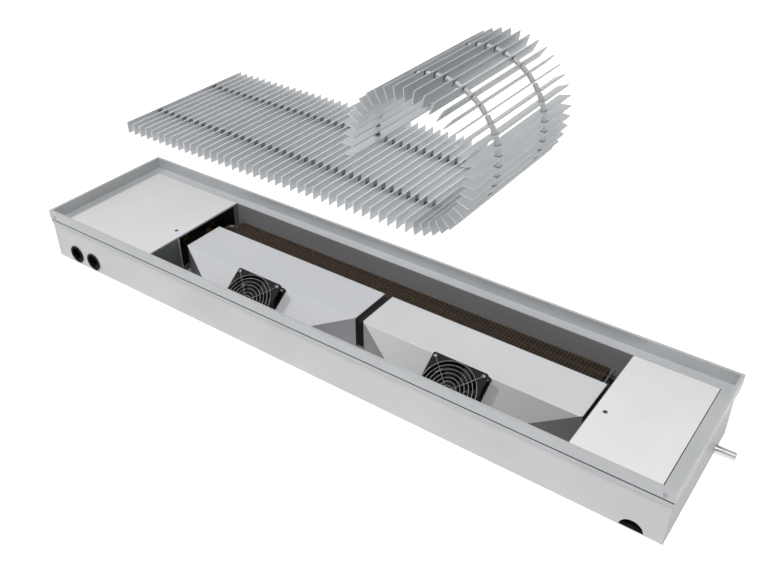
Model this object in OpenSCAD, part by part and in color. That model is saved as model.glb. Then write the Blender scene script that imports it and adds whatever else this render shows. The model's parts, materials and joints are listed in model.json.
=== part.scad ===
// Trench convector heater with blower fans and a roll-up grille, shown open.
// The origin is the middle of the tray's underside, X runs along the trench, Z is up.
// Front is the side with the pipe entries, at negative Y.

/* [Trench] */
// Length over the edge frame
trench_l = 1510; // [1400:1:2400]
// Width over the edge frame
trench_w = 340; // [330:1:420]
// Height from the underside to the top of the edge frame
trench_h = 123; // [121:1:180]
// Sheet thickness of the tray
tray_sheet = 1.5; // [1:0.1:2.5]
// Greatest gap left beside a loose or screwed piece
fit_gap = 0.6; // [0.3:0.1:1.2]
// Overrun of every cut past the face it opens
overrun = 1; // [0.5:0.1:2]

/* [Edge frame] */
// Width of the frame's visible top edge
rim_top_w = 6.4; // [5.6:0.1:9]
// Wall thickness of the frame profile
rim_wall = 1.6; // [1.2:0.1:2]
// Height of the frame's outer face
rim_face_h = 21.6; // [16:0.1:22.5]
// Depth from the rim down to the ledge that carries the grille
ledge_depth = 27; // [25.5:0.1:32]
// Thickness of the ledge
ledge_t = 2; // [1.5:0.1:3]
// Distance from the outer face to the ledge's inner edge
ledge_reach = 29; // [22:0.1:36]
// Setback of the lower lip from the outer face
lip_set = 1; // [0.5:0.1:2]
// Depth from the rim to the top of the lower lip
lip_top = 24.5; // [23:0.1:25]
// Depth from the rim to the bottom of the lower lip
lip_bottom = 34; // [32:0.1:38]
// Leg length of the corner keys
key_leg = 60; // [30:1:90]
// Distance of the corner screws from the frame's corner
corner_screw_in = 17.4; // [12:0.1:25]
// Depth of the corner screws below the rim
corner_screw_drop = 14; // [8:0.1:16]

/* [Wall openings] */
// Distance of the first pipe entry from the left end
entry_first_in = 70.7; // [60:0.1:90]
// Distance between the two pipe entries
entry_pitch = 58.2; // [50:0.1:80]
// Height of the pipe entries above the underside
entry_z = 26; // [25:0.1:40]
// Flange diameter of the pipe grommets
grommet_d = 42; // [38:0.1:46]
// Bore of the pipe grommets
grommet_bore = 32; // [22:0.1:33]
// Radius of the cable notch
notch_r = 21.5; // [12:0.1:30]
// Distance of the cable notch from the right end
notch_in = 57; // [40:0.1:90]
// Diameter of the floor fixing holes
fixing_d = 9; // [6:0.1:12]
// Distance of the fixing holes from the ends
fixing_in = 55; // [40:0.1:70]
// Distance between the two rows of fixing holes
fixing_pitch = 220; // [180:1:240]

/* [Covers] */
// Length of the left cover
left_cover_l = 272; // [240:1:320]
// Length of the right cover
right_cover_l = 164; // [150:1:320]
// Distance of the left cover screw from the cover's inner edge
left_screw_in = 24; // [15:0.1:30]
// Distance of the right cover screw from the cover's inner edge
right_screw_in = 19; // [15:0.1:30]
// Place of the cover screws across the trench
cover_screw_y = -34; // [-60:1:60]
// Width of the strips the covers rest on
rest_w = 14; // [10:0.1:18]
// Reach of the strips under the covers
rest_reach = 6; // [4:0.1:8]
// Flange width of the partitions
partition_flange = 40; // [34:0.1:60]

/* [Hoods] */
// Gap between the left partition and the left hood
hood_left_gap = 15.25; // [8:0.05:24]
// Gap between the right hood and the right partition
hood_right_gap = 13.25; // [8:0.05:24]
// Gap between the two hoods, filled by the seal
hood_gap = 19.5; // [8:0.1:40]
// Height of the hoods' flat tops
hood_top = 75; // [70:0.1:76]
// Distance from the tray's front face back to a hood's crease
crease_in = 123.9; // [119:0.1:132]
// Depth of a hood's flat roof
roof_depth = 103.5; // [90:0.1:115]
// Fall of the front slope
slope_deg = 36; // [35:0.1:37]
// Width of the hood's foot under the fan
foot_w = 124; // [122:0.1:140]
// Sheet thickness of the hoods
hood_sheet = 1; // [0.8:0.1:1.5]

/* [Fans] */
// Side of the square fan frame
fan_side = 120; // [118:0.1:121]
// Depth of the fan frame
fan_depth = 25; // [20:0.1:25.4]
// Distance of the fan's upper edge from the crease
fan_set = 3; // [2.8:0.1:4]
// Bore of the fan frame
fan_bore = 114; // [108:0.1:115]
// Distance between the fan's screw holes
fan_hole_pitch = 104.8; // [104:0.1:106]
// Thickness of the fan's flanges
fan_flange = 4; // [3:0.1:5]
// Diameter of the impeller's hub
hub_d = 42; // [36:0.1:48]
// Number of impeller blades
impeller_blades = 7; // [5:1:9]
// Number of guard rings
guard_rings = 7; // [5:1:9]
// Wire diameter of the guard
guard_wire = 1.6; // [1.2:0.1:2]

/* [Heat exchanger] */
// Gap between the fin pack and the edge of the ledge above it
pack_back_gap = 3; // [1:0.1:10]
// Depth of the fin pack
pack_depth = 130; // [124:0.1:132]
// Height of the fin pack's top
pack_top = 50; // [48:0.1:56]
// Height of the fin pack
pack_h = 38; // [36:0.1:42]
// Distance between the fins
fin_pitch = 9; // [6:0.1:12]
// Fin thickness
fin_t = 0.6; // [0.4:0.1:1]
// Outer diameter of the copper tubes
tube_d = 12; // [10:0.1:14]
// Distance between tubes across the pack
tube_pitch_y = 30; // [26:0.1:31]
// Distance between the two layers of tubes
tube_pitch_z = 18; // [16:0.1:20]

/* [Drain] */
// Outer diameter of the drain pipe
drain_d = 15; // [12:0.1:16]
// Height of the drain pipe's axis
drain_z = 10.5; // [10:0.1:12]
// Distance from the ledge's back edge to the drain's axis
drain_in = 58; // [40:0.1:90]
// Length of pipe that stands out of the right end
drain_out = 34; // [20:0.1:60]

/* [Grille] */
// Distance between grille blades
blade_pitch = 17.36; // [14:0.01:20]
// Blade thickness
blade_t = 2.4; // [2:0.1:3]
// Blade height
blade_h = 23; // [18:0.1:24]
// Clearance between a blade's end and the rim
blade_slip = 1.6; // [0.8:0.1:4]
// Distance from the blades' lower edge to the spring axis
axis_rise = 8; // [7:0.1:11]
// Distance between the two springs
spring_pitch = 154; // [120:1:220]
// Number of blades that lie flat
flat_blades = 39; // [30:1:45]
// Number of blades rolled up, two to a link
rolled_blades = 32; // [8:2:32]
// Bend from one rolled blade to the next
blade_bend = 8.68; // [8:0.01:9.5]
// Place of the first flat blade along the trench
grille_start = -414.5; // [-420:0.1:-400]
// Height of the raised grille's lower edges
grille_raise = 406; // [300:0.1:420]
// Diameter of the spacer sleeves
sleeve_d = 9; // [7:0.1:10]
// Gap between a sleeve and the next blade
sleeve_gap = 1.7; // [1.6:0.1:2]
// Diameter of the spring that threads the blades
spring_d = 3; // [2:0.1:4]

/* [Hidden] */
$fn = 48;

// Tray: the walls stand inside the frame's lip, the back wall under the ledge's inner edge
wall_in = lip_set + rim_wall;
tray_x = trench_l / 2 - wall_in;
tray_front = wall_in - trench_w / 2;
ledge_x = trench_l / 2 - ledge_reach;
ledge_y = trench_w / 2 - ledge_reach;
tray_back = ledge_y + tray_sheet;
ledge_top = trench_h - ledge_depth;
tray_top = ledge_top - ledge_t;

// Frame profile, drawn from its outer upper edge; x runs inward and y is height
key_slot_w = rim_top_w - 2 * rim_wall;
key_slip = 0.1;
corner_screw_d = 4;
corner_head_d = 7;
corner_head_h = 1.2;

// Grommets
grommet_lip_h = 2;
grommet_neck_d = grommet_d - 2 * grommet_lip_h;

// Covers and partitions
cover_screw_d = 5;
cover_head_d = 9;
cover_head_h = 1.2;
left_edge_x = -ledge_x + left_cover_l;
right_edge_x = ledge_x - right_cover_l;
partition_set = 2;
left_wall_x = left_edge_x + partition_set;
right_wall_x = right_edge_x - partition_set;
partition_sheet = 1.5;
partition_foot = 15;
pass_back_gap = 13;
pass_depth = 180;
pass_back = ledge_y - pass_back_gap;
pass_front = pass_back - pass_depth;
pass_low = 15;

// Hoods: a flat roof, a slope that falls to the floor and side walls that funnel to the fan
hood_w = (right_wall_x - left_wall_x - hood_left_gap - hood_right_gap - hood_gap) / 2;
hood_pitch = hood_w + hood_gap;
hood_mid = left_wall_x + hood_left_gap + hood_w + hood_gap / 2;
crease_y = tray_front + crease_in;
hood_back_y = crease_y + roof_depth;
hood_centres = [hood_mid - hood_pitch / 2, hood_mid + hood_pitch / 2];
slope_l = (hood_top - tray_sheet) / sin(slope_deg);
foot_reach = 112;
foot_y = crease_y - foot_reach * cos(slope_deg);
toe_y = crease_y - slope_l * cos(slope_deg);
funnel_deg = atan((crease_y - foot_y) / ((hood_w - foot_w) / 2));
funnel_step = hood_sheet * (1 - sin(funnel_deg)) / cos(funnel_deg);
seal_drop = 10;
seal_reach = 41.4;

// Fans, drawn on their seat with z along the shaft
fan_mid_drop = fan_set + fan_side / 2;
fan_corner_r = 5;
fan_hole_d = 4.4;
fan_duct_slack = 1;
fan_duct_d = fan_side - fan_duct_slack;
fan_duct_wall = (fan_duct_d - fan_bore) / 2;
motor_h = 5;
motor_d = hub_d;
strut_w = 5;
shaft_d = 4;
shaft_slip = 0.05;
hub_clear = 1;
hub_h = 16;
hub_skin = 2;
impeller_slack = 3;
impeller_d = fan_bore - impeller_slack;
impeller_pitch_deg = 38;
impeller_blade_t = 1.8;
impeller_blade_w = 26;
hood_bore_slack = 4;
hood_bore = fan_bore - hood_bore_slack;
guard_rise = guard_wire / 4;
guard_inner_r = 10;
guard_lap = 1;
guard_outer_r = fan_bore / 2 + guard_lap;
eyelet_r = 4.2;
fan_screw_d = 4;
fan_head_d = 7.6;
fan_head_h = 2;
fan_screw_l = 8;

// Heat exchanger: two layers of four tubes
pack_left_gap = 16;
pack_right_gap = 30;
pack_left = left_wall_x + pack_left_gap;
pack_right = right_wall_x - pack_right_gap;
pack_front = ledge_y - pack_back_gap - pack_depth;
plate_t = 1.5;
pack_low = pack_top - pack_h;
tube_columns = 4;
tube_first_y = pack_front + (pack_depth - (tube_columns - 1) * tube_pitch_y) / 2;
tube_rise = 2;
tube_low_z = pack_low + (pack_h - tube_pitch_z) / 2 + tube_rise;
tube_stub = 5;
bend_left_x = pack_left - plate_t - tube_stub;
bend_right_x = pack_right + plate_t + tube_stub;
connection_in = 68;
connection_x = left_wall_x - connection_in;
connection_l = 26;
connection_d = 27;
thread_d = 18.6;
thread_depth = 14;
vent_d = 9;
vent_h = 14;
vent_cap_d = 13;
vent_cap_h = 7;

// Drip tray under the exchanger and its drain
drip_sheet = 1;
drip_left_lap = 13;
drip_right_gap = 4;
drip_front_lap = 3.5;
drip_left = pack_left - drip_left_lap;
drip_right = right_wall_x - drip_right_gap;
drip_front = pack_front - drip_front_lap;
drip_back = ledge_y - fit_gap;
drip_wall_h = 14;
drip_end_h = 22;
drain_y = ledge_y - drain_in;
drain_wall = 1;
drain_step = 0.5;
drain_tail = 40;
drain_bore = drain_d - 2 * drain_wall - 2 * drain_step;
nipple_l = 24;
hose_wall = 2;
hose_d = drain_d - 2 * drain_step + 2 * hose_wall;
hose_left_gap = 2;
hose_right_gap = 12;
hose_left = drip_right + hose_left_gap;
hose_right = tray_x - hose_right_gap;
drain_nut_h = 5;

// Terminal box beside the cable notch
box_left_gap = 30;
box_front_gap = 39.4;
box_x = right_wall_x + box_left_gap;
box_y = tray_front + box_front_gap;
box_l = 110;
box_w = 76;
box_h = 46;
box_wall = 2;
lid_h = 8;
lid_lap = 3;
gland_d = 20;
gland_bore = 10;
gland_l = 14;
gland_z = 24;

// Grille: the flat blades, then a roll of two-blade links whose centre is over the last flat blade
blade_l = trench_w - 2 * (rim_top_w + blade_slip);
roll_r = blade_pitch / 2 / sin(blade_bend / 2);
axis_z = grille_raise + axis_rise;
roll_x = grille_start + (flat_blades - 1) * blade_pitch;
roll_z = axis_z + roll_r;
sleeve_l = blade_pitch - blade_t - sleeve_gap;
spring_slip = 0.1;
spring_end_gap = 0.5;
spring_tail = 1.5;

// A block between two opposite corners
module block(from, to) {
    translate(from) cube(to - from);
}

// A 2D rectangle with round corners
module round_plate(w, r) {
    square([w - 2 * r, w], center = true);
    square([w, w - 2 * r], center = true);
    for (x = [-1, 1], y = [-1, 1])
        translate([x * (w / 2 - r), y * (w / 2 - r)]) circle(r);
}

// Edge frame

module rim_profile() {
    polygon([
        [0, 0], [rim_top_w, 0], [rim_top_w, -ledge_depth], [ledge_reach, -ledge_depth],
        [ledge_reach, -ledge_depth - ledge_t], [wall_in, -ledge_depth - ledge_t],
        [wall_in, -lip_bottom], [lip_set, -lip_bottom], [lip_set, -lip_top],
        [rim_top_w - rim_wall, -lip_top], [rim_top_w - rim_wall, -rim_wall],
        [rim_wall, -rim_wall], [rim_wall, -rim_face_h], [0, -rim_face_h]
    ]);
}

// The corner of plan view that a mitre takes off a long side
module mitre_long() {
    cut = ledge_reach + overrun;
    translate([-trench_l / 2, -trench_w / 2, trench_h - lip_bottom - overrun])
        linear_extrude(lip_bottom + 2 * overrun)
            polygon([[-overrun, -overrun], [cut, cut], [-overrun, cut]]);
}

// The corner of plan view that a mitre takes off a short side
module mitre_short() {
    cut = ledge_reach + overrun;
    translate([-trench_l / 2, -trench_w / 2, trench_h - lip_bottom - overrun])
        linear_extrude(lip_bottom + 2 * overrun)
            polygon([[-overrun, -overrun], [cut, -overrun], [cut, cut]]);
}

module long_side() {
    color("gainsboro") difference() {
        translate([-trench_l / 2, -trench_w / 2, trench_h])
            rotate([90, 0, 90]) linear_extrude(trench_l) rim_profile();
        mitre_long();
        mirror([1, 0, 0]) mitre_long();
        corner_screw_places() cylinder(d = corner_screw_d, h = 3 * rim_wall, center = true);
    }
}

module short_side() {
    color("gainsboro") difference() {
        translate([-trench_l / 2, trench_w / 2, trench_h])
            rotate([90, 0, 0]) linear_extrude(trench_w) rim_profile();
        mitre_short();
        mirror([0, 1, 0]) mitre_short();
    }
}

module frame_front() {
    long_side();
}

module frame_back() {
    mirror([0, 1, 0]) long_side();
}

module frame_left() {
    short_side();
}

module frame_right() {
    mirror([1, 0, 0]) short_side();
}

// Both ends of the front side's outer face, with z pointing into the profile
module corner_screw_places() {
    for (side = [-1, 1])
        translate([
            side * (trench_l / 2 - corner_screw_in), -trench_w / 2, trench_h - corner_screw_drop
        ])
            rotate([-90, 0, 0]) children();
}

module corner_keys() {
    key_t = key_slot_w - 2 * key_slip;
    key_in = rim_wall + key_slip;
    key_h = rim_face_h - rim_wall;
    color("silver") for (x = [0, 1], y = [0, 1])
        mirror([x, 0, 0]) mirror([0, y, 0])
            translate([-trench_l / 2 + key_in, -trench_w / 2 + key_in, trench_h - rim_face_h])
                difference() {
                    union() {
                        cube([key_leg, key_t, key_h]);
                        cube([key_t, key_leg, key_h]);
                    }
                    translate([corner_screw_in - key_in, key_t / 2, rim_face_h - corner_screw_drop])
                        rotate([90, 0, 0])
                            cylinder(d = corner_screw_d, h = key_t + overrun, center = true);
                }
}

module corner_screws() {
    shank = rim_wall + key_slot_w;
    color("silver") for (y = [0, 1]) mirror([0, y, 0]) corner_screw_places() {
        translate([0, 0, -corner_head_h]) cylinder(d = corner_head_d, h = corner_head_h);
        cylinder(d = corner_screw_d, h = shank);
    }
}

// Tray

module entry_places() {
    for (i = [0, 1])
        translate([-trench_l / 2 + entry_first_in + i * entry_pitch, tray_front, entry_z])
            rotate([90, 0, 0]) children();
}

module tray_floor() {
    color("lightgray") difference() {
        block([-tray_x, tray_front, 0], [tray_x, tray_back, tray_sheet]);
        for (x = [-1, 1], y = [-1, 1])
            translate([x * (trench_l / 2 - fixing_in), y * fixing_pitch / 2, 0])
                cylinder(d = fixing_d, h = 3 * tray_sheet, center = true);
    }
}

module tray_front_wall() {
    wall_cut = 3 * tray_sheet;
    color("lightgray") difference() {
        block([-tray_x, tray_front, tray_sheet], [tray_x, tray_front + tray_sheet, tray_top]);
        entry_places() cylinder(d = grommet_neck_d, h = 2 * wall_cut, center = true);
        translate([trench_l / 2 - notch_in, tray_front, 0]) rotate([90, 0, 0])
            cylinder(r = notch_r, h = 2 * wall_cut, center = true);
    }
}

module tray_back_wall() {
    color("lightgray")
        block([-tray_x, tray_back - tray_sheet, tray_sheet], [tray_x, tray_back, tray_top]);
}

module tray_end_walls() {
    front = tray_front + tray_sheet;
    back = tray_back - tray_sheet;
    color("lightgray") {
        block([-tray_x, front, tray_sheet], [-tray_x + tray_sheet, back, tray_top]);
        difference() {
            block([tray_x - tray_sheet, front, tray_sheet], [tray_x, back, tray_top]);
            on_drain(tray_x) cylinder(d = drain_d - 2 * drain_step, h = 6 * tray_sheet, center = true);
        }
    }
}

module grommet() {
    lip = grommet_lip_h;
    color("black") rotate_extrude() translate([grommet_bore / 2, 0]) {
        lip_w = (grommet_d - grommet_bore) / 2;
        neck_w = (grommet_neck_d - grommet_bore) / 2;
        square([lip_w, lip]);
        translate([0, -tray_sheet]) square([neck_w, tray_sheet]);
        translate([0, -tray_sheet - lip]) square([lip_w, lip]);
    }
}

module supply_grommet() {
    translate([-trench_l / 2 + entry_first_in, tray_front, entry_z]) rotate([90, 0, 0]) grommet();
}

module return_grommet() {
    translate([entry_pitch, 0, 0]) supply_grommet();
}

// Covers and partitions

module cover_plate(from_x, to_x, screw_x) {
    color("whitesmoke") difference() {
        block(
            [from_x, -ledge_y + fit_gap, tray_top],
            [to_x, ledge_y - fit_gap, ledge_top]
        );
        translate([screw_x, cover_screw_y, tray_top])
            cylinder(d = cover_screw_d, h = 3 * ledge_t, center = true);
        translate([screw_x, cover_screw_y, ledge_top - cover_head_h])
            cylinder(d = cover_head_d, h = cover_head_h + overrun);
    }
}

module left_cover() {
    cover_plate(-ledge_x + fit_gap, left_edge_x, left_edge_x - left_screw_in);
}

module right_cover() {
    cover_plate(right_edge_x, ledge_x - fit_gap, right_edge_x + right_screw_in);
}

module cover_screws() {
    color("dimgray") for (x = [left_edge_x - left_screw_in, right_edge_x + right_screw_in])
        translate([x, cover_screw_y, 0]) {
            translate([0, 0, ledge_top - cover_head_h]) cylinder(d = cover_head_d, h = cover_head_h);
            translate([0, 0, tray_top - partition_sheet])
                cylinder(d = cover_screw_d, h = ledge_t + partition_sheet - cover_head_h);
        }
}

// Strips under the ledge at one end of the trench, for a cover of the given length
module rest_strips(cover_l) {
    end_x = -ledge_x + cover_l - partition_flange - overrun;
    low = tray_top - tray_sheet;
    block([-ledge_x - rest_w + rest_reach, -ledge_y, low], [-ledge_x + rest_reach, ledge_y, tray_top]);
    block([-ledge_x, -ledge_y - rest_w + rest_reach, low], [end_x, -ledge_y + rest_reach, tray_top]);
    block([-ledge_x, ledge_y - rest_reach, low], [end_x, ledge_y, tray_top]);
}

module cover_rests() {
    color("lightgray") {
        rest_strips(left_cover_l);
        mirror([1, 0, 0]) rest_strips(right_cover_l);
    }
}

// A partition whose flanges point to negative x from its face at x = 0
module partition() {
    low_front = tray_front + tray_sheet;
    difference() {
        union() {
            block([-partition_sheet, low_front, tray_sheet], [0, ledge_y, tray_top]);
            block(
                [-partition_flange, -ledge_y, tray_top - partition_sheet],
                [0, ledge_y, tray_top]
            );
            block(
                [-partition_foot, low_front, tray_sheet],
                [0, ledge_y, tray_sheet + partition_sheet]
            );
        }
        children();
    }
}

module partition_screw_hole(edge_in) {
    translate([-partition_set - edge_in, cover_screw_y, tray_top])
        cylinder(d = cover_screw_d, h = 4 * partition_sheet, center = true);
}

module left_partition() {
    color("lightgray") translate([left_wall_x, 0, 0]) partition() {
        block(
            [-partition_sheet - overrun, pass_front, pass_low],
            [overrun, pass_back, tray_top - partition_sheet]
        );
        partition_screw_hole(left_screw_in);
    }
}

module right_partition() {
    color("lightgray") translate([right_wall_x, 0, 0]) mirror([1, 0, 0]) partition() {
        translate([0, drain_y, drain_z]) rotate([0, 90, 0])
            cylinder(d = hose_d + 2 * fit_gap, h = 3 * partition_flange, center = true);
        partition_screw_hole(right_screw_in);
    }
}

// Hoods

// Side view of a hood, grown inward by the given depth
module hood_side(depth) {
    slope_in = depth / sin(slope_deg);
    roof_in = depth * tan(slope_deg / 2);
    low = depth > 0 ? tray_sheet - overrun : tray_sheet;
    low_in = slope_in + (low - tray_sheet) / tan(slope_deg);
    rotate([90, 0, 90]) linear_extrude(hood_w + 2 * overrun, center = true)
        polygon([
            [toe_y + low_in, low], [crease_y + roof_in, hood_top - depth],
            [hood_back_y - depth, hood_top - depth], [hood_back_y - depth, low]
        ]);
}

// Plan view of a hood, grown inward by the given depth
module hood_plan(depth, step) {
    wide = hood_w / 2 - depth;
    narrow = foot_w / 2 - depth;
    front = toe_y - overrun;
    back = hood_back_y + overrun;
    linear_extrude(hood_top + overrun) polygon([
        [-narrow, front], [narrow, front], [narrow, foot_y + step], [wide, crease_y + step],
        [wide, back], [-wide, back], [-wide, crease_y + step], [-narrow, foot_y + step]
    ]);
}

module on_fan_seat() {
    translate([
        0, crease_y - fan_mid_drop * cos(slope_deg), hood_top - fan_mid_drop * sin(slope_deg)
    ])
        rotate([slope_deg, 0, 0]) children();
}

module hood() {
    color("white") difference() {
        intersection() {
            hood_side(0);
            hood_plan(0, 0);
        }
        intersection() {
            hood_side(hood_sheet);
            translate([0, 0, -overrun]) hood_plan(hood_sheet, funnel_step);
        }
        on_fan_seat() {
            cylinder(d = hood_bore, h = 6 * hood_sheet, center = true);
            fan_corners() cylinder(d = fan_hole_d, h = 6 * hood_sheet, center = true);
        }
        block(
            [-hood_w, drip_front - fit_gap, 0],
            [hood_w, hood_back_y + overrun, pack_top + fit_gap]
        );
    }
}

module left_hood() {
    translate([hood_centres[0], 0, 0]) hood();
}

module right_hood() {
    translate([hood_centres[1], 0, 0]) hood();
}

module hood_seal() {
    top = hood_top - seal_drop;
    seal_w = hood_pitch - hood_w;
    pack_lid = pack_top + fit_gap;
    step_y = drip_front - fit_gap;
    front = step_y - seal_reach;
    color("black") translate([hood_mid, 0, 0])
        rotate([90, 0, 90]) linear_extrude(seal_w, center = true)
            polygon([
                [front, tray_sheet], [front, top], [hood_back_y, top], [hood_back_y, pack_lid],
                [step_y, pack_lid], [step_y, tray_sheet]
            ]);
}

// Fans

module fan_corners() {
    for (x = [-1, 1], y = [-1, 1])
        translate([x * fan_hole_pitch / 2, y * fan_hole_pitch / 2, 0]) children();
}

module fan_frame() {
    reach = fan_bore / 2 + fan_duct_wall / 2;
    color("black") {
        difference() {
            union() {
                linear_extrude(fan_flange) round_plate(fan_side, fan_corner_r);
                translate([0, 0, fan_depth - fan_flange])
                    linear_extrude(fan_flange) round_plate(fan_side, fan_corner_r);
                cylinder(d = fan_duct_d, h = fan_depth, $fn = 96);
            }
            translate([0, 0, -overrun]) cylinder(d = fan_bore, h = fan_depth + 2 * overrun, $fn = 96);
            translate([0, 0, -overrun]) fan_corners() cylinder(d = fan_hole_d, h = fan_depth + 2 * overrun);
        }
        difference() {
            union() {
                cylinder(d = motor_d, h = motor_h);
                for (turn = [0 : 3]) rotate([0, 0, turn * 90])
                    block([0, -strut_w / 2, 0], [reach, strut_w / 2, fan_flange]);
            }
            translate([0, 0, -overrun])
                cylinder(d = shaft_d + 2 * shaft_slip, h = motor_h + 2 * overrun);
        }
    }
}

module impeller() {
    low = motor_h + hub_clear;
    color("black") {
        cylinder(d = shaft_d, h = low + hub_skin);
        difference() {
            translate([0, 0, low]) cylinder(d = hub_d, h = hub_h);
            translate([0, 0, low + hub_h - hub_skin / 2])
                cylinder(d = hub_d - 4 * hub_skin, h = hub_skin);
        }
        intersection() {
            translate([0, 0, low]) difference() {
                cylinder(d = impeller_d, h = hub_h, $fn = 96);
                translate([0, 0, -overrun]) cylinder(d = hub_d - hub_skin, h = hub_h + 2 * overrun);
            }
            for (i = [0 : impeller_blades - 1]) rotate([0, 0, i * 360 / impeller_blades])
                translate([0, 0, low + hub_h / 2]) rotate([impeller_pitch_deg, 0, 0])
                    block(
                        [0, -impeller_blade_w / 2, -impeller_blade_t / 2],
                        [impeller_d / 2, impeller_blade_w / 2, impeller_blade_t / 2]
                    );
        }
    }
}

module fan_guard() {
    step = (guard_outer_r - guard_inner_r) / (guard_rings - 1);
    ring_z = fan_depth + guard_wire + guard_rise;
    spoke_end = fan_hole_pitch / sqrt(2) - fan_screw_d;
    color("dimgray") {
        for (i = [0 : guard_rings - 1])
            translate([0, 0, ring_z]) rotate_extrude($fn = 48)
                translate([guard_inner_r + i * step, 0]) circle(d = guard_wire, $fn = 14);
        for (turn = [0 : 3]) rotate([0, 0, 45 + turn * 90]) {
            block(
                [guard_inner_r - guard_wire, -guard_wire / 2, fan_depth],
                [spoke_end, guard_wire / 2, fan_depth + guard_wire]
            );
            translate([fan_hole_pitch / sqrt(2), 0, fan_depth]) difference() {
                cylinder(r = eyelet_r + guard_wire / 2, h = guard_wire);
                translate([0, 0, -overrun])
                    cylinder(d = fan_screw_d + 2 * shaft_slip, h = guard_wire + 2 * overrun);
            }
        }
    }
}

module fan_screw_set() {
    fan_corners() {
        translate([0, 0, fan_depth + guard_wire]) cylinder(d = fan_head_d, h = fan_head_h);
        translate([0, 0, fan_depth + guard_wire - fan_screw_l])
            cylinder(d = fan_screw_d, h = fan_screw_l);
        translate([0, 0, fan_flange]) cylinder(d = fan_head_d, h = fan_head_h);
        translate([0, 0, fan_flange - fan_screw_l]) cylinder(d = fan_screw_d, h = fan_screw_l);
    }
}

module at_hood(i) {
    translate([hood_centres[i], 0, 0]) on_fan_seat() children();
}

module left_fan_frame() {
    at_hood(0) fan_frame();
}

module right_fan_frame() {
    at_hood(1) fan_frame();
}

module left_fan_guard() {
    at_hood(0) fan_guard();
}

module right_fan_guard() {
    at_hood(1) fan_guard();
}

module fan_screws() {
    color("silver") for (i = [0, 1]) at_hood(i) fan_screw_set();
}

module left_impeller() {
    at_hood(0) impeller();
}

module right_impeller() {
    at_hood(1) impeller();
}

// Heat exchanger

function tube_y(i) = tube_first_y + i * tube_pitch_y;
function tube_z(layer) = tube_low_z + layer * tube_pitch_z;

module tube_grid() {
    for (i = [0 : tube_columns - 1], layer = [0, 1])
        translate([tube_y(i), tube_z(layer)]) circle(d = tube_d, $fn = 32);
}

module pack_slice(low) {
    difference() {
        translate([pack_front, low]) square([pack_depth, pack_top - low]);
        tube_grid();
    }
}

module exchanger_fins() {
    fins = floor((pack_right - pack_left) / fin_pitch);
    first = pack_left + (pack_right - pack_left - (fins - 1) * fin_pitch) / 2 - fin_t / 2;
    color("darkgoldenrod") for (i = [0 : fins - 1])
        translate([first + i * fin_pitch, 0, 0])
            rotate([90, 0, 90]) linear_extrude(fin_t) pack_slice(pack_low);
}

module exchanger_end_plates() {
    color("gray") for (x = [pack_left - plate_t, pack_right])
        translate([x, 0, 0]) rotate([90, 0, 90])
            linear_extrude(plate_t) pack_slice(tray_sheet + drip_sheet);
}

// A half ring that starts at the origin and comes back one pitch further along y
module return_bend(pitch) {
    translate([0, pitch / 2, 0]) rotate([0, 0, -90])
        rotate_extrude(angle = 180, $fn = 48) translate([pitch / 2, 0]) circle(d = tube_d, $fn = 32);
}

module left_bend(column, layer) {
    translate([bend_left_x, tube_y(column), tube_z(layer)])
        mirror([1, 0, 0]) return_bend(tube_pitch_y);
}

module right_bend(column) {
    translate([bend_right_x, tube_y(column), tube_z(0)])
        rotate([90, 0, 0]) return_bend(tube_pitch_z);
}

module exchanger_tubes() {
    color("peru") {
        for (i = [0 : tube_columns - 1], layer = [0, 1]) {
            is_end = layer == 0 && (i == 0 || i == tube_columns - 1);
            start = is_end ? connection_x : bend_left_x;
            translate([start, tube_y(i), tube_z(layer)]) rotate([0, 90, 0])
                cylinder(d = tube_d, h = bend_right_x - start, $fn = 32);
        }
        for (i = [0 : tube_columns - 1]) right_bend(i);
        left_bend(0, 1);
        left_bend(1, 0);
        left_bend(2, 1);
    }
}

module water_connections() {
    color("goldenrod") for (i = [0, tube_columns - 1])
        translate([connection_x - connection_l, tube_y(i), tube_z(0)]) rotate([0, 90, 0])
            difference() {
                cylinder(d = connection_d, h = connection_l, $fn = 6);
                translate([0, 0, -overrun]) cylinder(d = thread_d, h = thread_depth + overrun);
            }
}

module air_vent() {
    seat_z = tube_z(1) + tube_d / 2;
    color("goldenrod")
        translate([bend_left_x - tube_pitch_y / 2, tube_y(0) + tube_pitch_y / 2, seat_z]) {
            cylinder(d = vent_d, h = vent_h);
            translate([0, 0, vent_h]) cylinder(d = vent_cap_d, h = vent_cap_h, $fn = 6);
        }
}

// Drain

module drip_tray() {
    low = tray_sheet;
    color("silver") difference() {
        union() {
            block([drip_left, drip_front, low], [drip_right, drip_back, low + drip_wall_h]);
            block(
                [drip_right - drip_sheet, drip_front, low],
                [drip_right, drip_back, low + drip_end_h]
            );
        }
        block(
            [drip_left + drip_sheet, drip_front + drip_sheet, low + drip_sheet],
            [drip_right - drip_sheet, drip_back - drip_sheet, low + drip_wall_h + overrun]
        );
        on_drain(drip_right) cylinder(d = drain_bore, h = 4 * drip_sheet, center = true);
    }
    color("silver") on_drain(drip_right) tube(drain_d - 2 * drain_step, drain_bore, nipple_l);
}

module on_drain(x) {
    translate([x, drain_y, drain_z]) rotate([0, 90, 0]) children();
}

module tube(outer_d, inner_d, length) {
    difference() {
        cylinder(d = outer_d, h = length);
        translate([0, 0, -overrun]) cylinder(d = inner_d, h = length + 2 * overrun);
    }
}

// A spigot that is clamped in the right wall by its shoulder and a nut
module drain_pipe() {
    color("silver") {
        on_drain(tray_x) tube(drain_d, drain_bore, trench_l / 2 + drain_out - tray_x);
        on_drain(tray_x - drain_tail) tube(drain_d - 2 * drain_step, drain_bore, drain_tail);
    }
}

module drain_hose() {
    color("black") on_drain(hose_left)
        tube(hose_d, drain_d - 2 * drain_step, hose_right - hose_left);
}

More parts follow.
